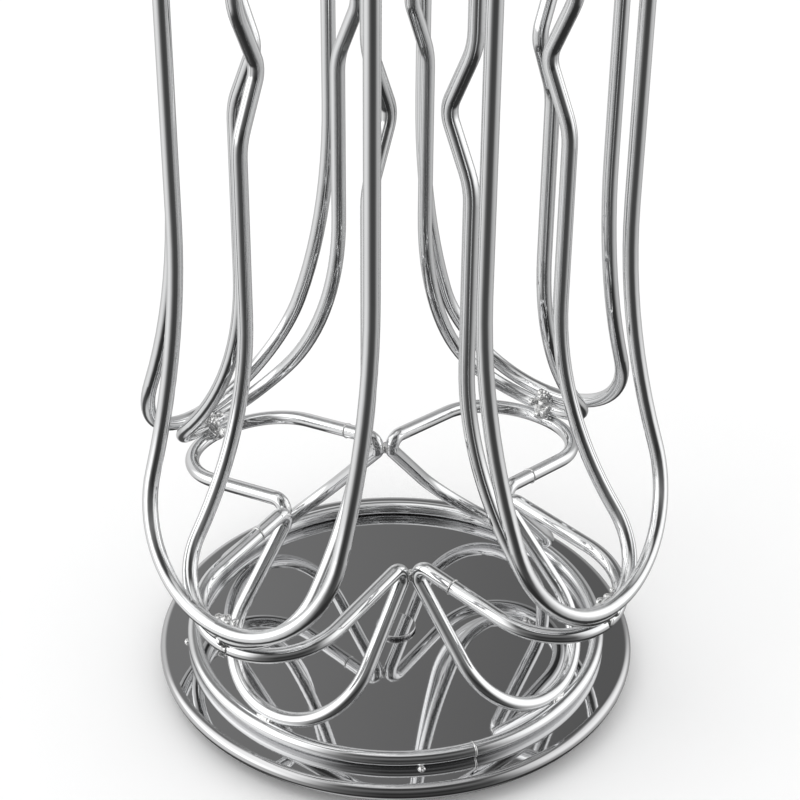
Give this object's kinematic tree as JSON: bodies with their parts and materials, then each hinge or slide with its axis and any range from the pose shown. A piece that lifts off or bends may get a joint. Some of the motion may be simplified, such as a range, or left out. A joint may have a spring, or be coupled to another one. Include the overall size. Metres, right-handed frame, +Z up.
{
  "type": "capsule tower",
  "caption": "Revolving chrome wire tower that stores flat drinks capsules in four columns on a round turning base.",
  "frame": {"origin": "on the turning axis at the underside of the feet", "axes": "+Z up along the turning axis, -Y out through the front column, +X out through the right column"},
  "size_m": [0.1772, 0.1772, 0.3864],
  "materials": {
    "chrome": "bright chrome plate",
    "plate_chrome": "polished chrome plate with a dark mirror look",
    "weld": "plated over rough weld metal",
    "zinc": "bright zinc plate",
    "ball_steel": "polished bearing steel",
    "rubber": "matt black rubber"
  },
  "bodies": {
    "standing_base": {"rubber_feet": "rubber", "foot_plate": "zinc", "pivot_rivet": "plate_chrome", "pivot_washer": "plate_chrome"},
    "ball_race": {"ball_cage": "zinc", "bearing_balls": "ball_steel"},
    "carousel": {"race_plate": "zinc", "turntable_dish": "plate_chrome", "base_ring": "chrome", "petal_front": "chrome", "petal_right": "chrome", "petal_back": "chrome", "petal_left": "chrome", "petal_seams": "weld", "outer_hoop_front": "chrome", "outer_hoop_right": "chrome", "outer_hoop_back": "chrome", "outer_hoop_left": "chrome", "inner_hoop_front": "chrome", "inner_hoop_right": "chrome", "inner_hoop_back": "chrome", "inner_hoop_left": "chrome", "petal_root_welds": "weld", "petal_foot_welds": "weld", "hoop_welds": "weld", "ring_tacks": "weld", "top_ring": "chrome", "top_ring_welds": "weld", "top_hub": "chrome", "finial_knob": "chrome", "finial_stud": "zinc", "finial_nut": "zinc"}
  },
  "joints": [
    {"name": "carousel_turn", "type": "hinge", "parent": "standing_base", "child": "carousel", "pos_m": [0, 0, 0.01028], "axis": [0, 0, 1], "continuous": true},
    {"name": "ball_race_turn", "type": "hinge", "parent": "standing_base", "child": "ball_race", "pos_m": [0, 0, 0.00614], "axis": [0, 0, 1], "continuous": true}
  ],
  "couplings": [
    {"joint": "ball_race_turn", "follows": "carousel_turn", "ratio": 0.5}
  ]
}
